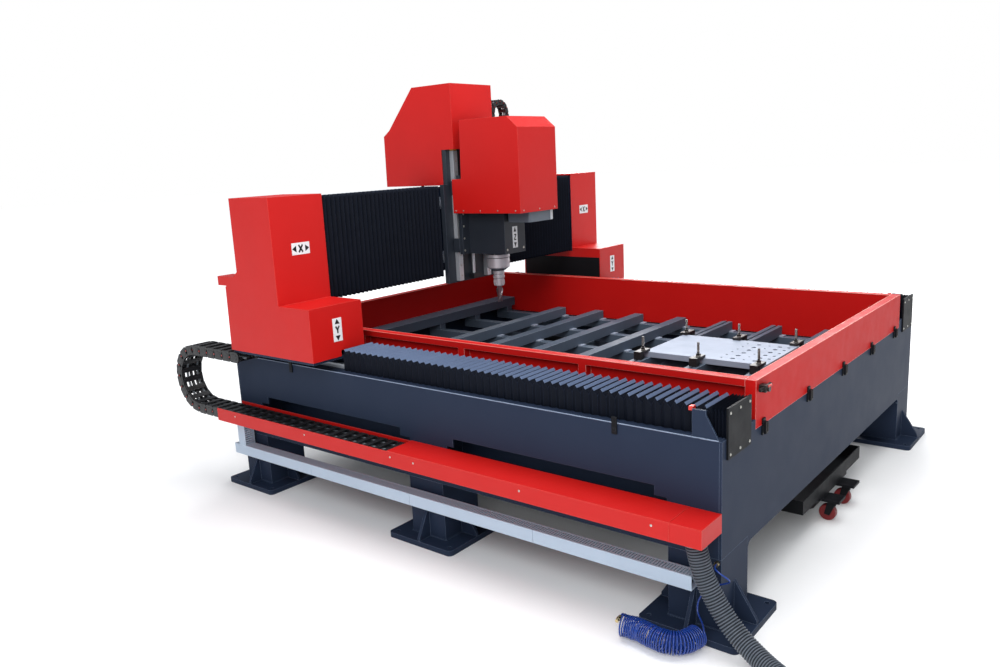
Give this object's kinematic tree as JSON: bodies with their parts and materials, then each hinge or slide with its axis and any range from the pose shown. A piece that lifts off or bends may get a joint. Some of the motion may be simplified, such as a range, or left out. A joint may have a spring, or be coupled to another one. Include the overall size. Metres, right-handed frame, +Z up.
{
  "type": "cnc router",
  "caption": "Floor-standing CNC router with a moving gantry, enclosed cross axis, upright spindle head, slotted bed in a shallow tray, cable chain and foot plates.",
  "frame": {"origin": "on the floor under the middle of the machine's bounding box, hoses left out", "axes": "+X to the right across the machine seen from its front, +Y from the front face to the rear where the gantry is parked, +Z up"},
  "size_m": [2.9952, 3.7589, 2.118],
  "materials": {
    "slate_paint": "satin",
    "red_paint": "satin",
    "black_paint": "satin",
    "ground_steel": "ground",
    "tool_steel": "satin",
    "servo_black": "satin",
    "motor_grey": "satin",
    "bellows_cloth": "coated cloth",
    "chain_plastic": "moulded",
    "duct_plastic": "satin",
    "conduit_plastic": "moulded",
    "blue_polyurethane": "gloss",
    "wheel_polyurethane": "satin"
  },
  "bodies": {
    "base": {"air_fitting": "ground_steel", "air_hose_coil": "blue_polyurethane", "air_hose_lead": "blue_polyurethane", "air_valve": "ground_steel", "base_front_plate": "slate_paint", "base_rear_plate": "slate_paint", "base_side_left": "slate_paint", "base_side_right": "slate_paint", "bed_cross_bars": "slate_paint", "bed_frame": "slate_paint", "bellows_end_plates": "black_paint", "cable_tray": "red_paint", "chip_chutes": "black_paint", "conduit_hose": "conduit_plastic", "fixture_plate": "ground_steel", "hose_coupling": "conduit_plastic", "leg_front_left": "slate_paint", "leg_front_right": "slate_paint", "leg_middle_left": "slate_paint", "leg_middle_right": "slate_paint", "leg_rear_left": "slate_paint", "leg_rear_right": "slate_paint", "strap_clamps": "ground_steel", "toggle_latches": "black_paint", "tray_wall_front": "red_paint", "tray_wall_left": "red_paint", "tray_wall_rear": "red_paint", "tray_wall_right": "red_paint", "wiring_duct": "duct_plastic", "y_bellows": "bellows_cloth", "y_chain_lower": "chain_plastic", "y_rails": "ground_steel"},
    "gantry": {"post_cover_left": "red_paint", "post_cover_right": "red_paint", "gantry_post_left": "slate_paint", "gantry_post_right": "slate_paint", "gantry_beam": "slate_paint", "x_rails": "ground_steel", "y_motors": "servo_black", "y_chain_upper": "chain_plastic", "x_bellows": "bellows_cloth"},
    "chain_loop": {"y_chain_loop": "chain_plastic"},
    "saddle": {"saddle_plate": "slate_paint", "x_bearings": "ground_steel", "tower_cover": "red_paint", "x_motor": "servo_black", "z_rails": "ground_steel", "z_motor": "servo_black", "z_chain": "chain_plastic"},
    "screw": {"z_screw": "ground_steel"},
    "carriage": {"carriage_plate": "slate_paint", "spindle_block": "slate_paint", "spindle_cover": "red_paint", "spindle_motor": "motor_grey"},
    "tool": {"tool_holder": "tool_steel"},
    "chip_tray": {"chip_tray": "black_paint"},
    "castor_left": {"castor_fork_left": "black_paint"},
    "castor_right": {"castor_fork_right": "black_paint"},
    "wheel_left": {"castor_wheel_left": "wheel_polyurethane"},
    "wheel_right": {"castor_wheel_right": "wheel_polyurethane"}
  },
  "joints": [
    {"name": "y_travel", "type": "slide", "parent": "base", "child": "gantry", "axis": [0, 1, 0], "range_m": [-1.5, 0], "deforming": ["y_bellows", "y_chain_upper", "y_chain_lower"]},
    {"name": "y_chain_travel", "type": "slide", "parent": "gantry", "child": "chain_loop", "axis": [0, 1, 0], "range_m": [0, 0.75]},
    {"name": "x_travel", "type": "slide", "parent": "gantry", "child": "saddle", "axis": [1, 0, 0], "range_m": [-0.6, 0.6], "deforming": ["x_bellows"]},
    {"name": "z_travel", "type": "slide", "parent": "saddle", "child": "carriage", "axis": [0, 0, 1], "range_m": [-0.165, 0.135], "deforming": ["z_chain"]},
    {"name": "z_screw_turn", "type": "hinge", "parent": "saddle", "child": "screw", "pos_m": [-0.0085, 0.60375, 1.4], "axis": [0, 0, 1], "range_deg": [-2376, 1944]},
    {"name": "spindle_spin", "type": "hinge", "parent": "carriage", "child": "tool", "pos_m": [-0.0085, 0.41275, 1], "axis": [0, 0, 1], "continuous": true},
    {"name": "chip_tray_travel", "type": "slide", "parent": "base", "child": "chip_tray", "axis": [0, 1, 0], "range_m": [-1, 0]},
    {"name": "castor_left_swivel", "type": "hinge", "parent": "chip_tray", "child": "castor_left", "pos_m": [-0.1085, -1.56225, 0.105], "axis": [0, 0, 1], "continuous": true},
    {"name": "castor_left_roll", "type": "hinge", "parent": "castor_left", "child": "wheel_left", "pos_m": [-0.1085, -1.54025, 0.0375], "axis": [1, 0, 0], "continuous": true},
    {"name": "castor_right_swivel", "type": "hinge", "parent": "chip_tray", "child": "castor_right", "pos_m": [0.1065, -1.56225, 0.105], "axis": [0, 0, 1], "continuous": true},
    {"name": "castor_right_roll", "type": "hinge", "parent": "castor_right", "child": "wheel_right", "pos_m": [0.1065, -1.54025, 0.0375], "axis": [1, 0, 0], "continuous": true}
  ],
  "couplings": [
    {"joint": "y_chain_travel", "follows": "y_travel", "ratio": -0.5},
    {"joint": "z_screw_turn", "follows": "z_travel", "rad_per_m": 251.33}
  ]
}
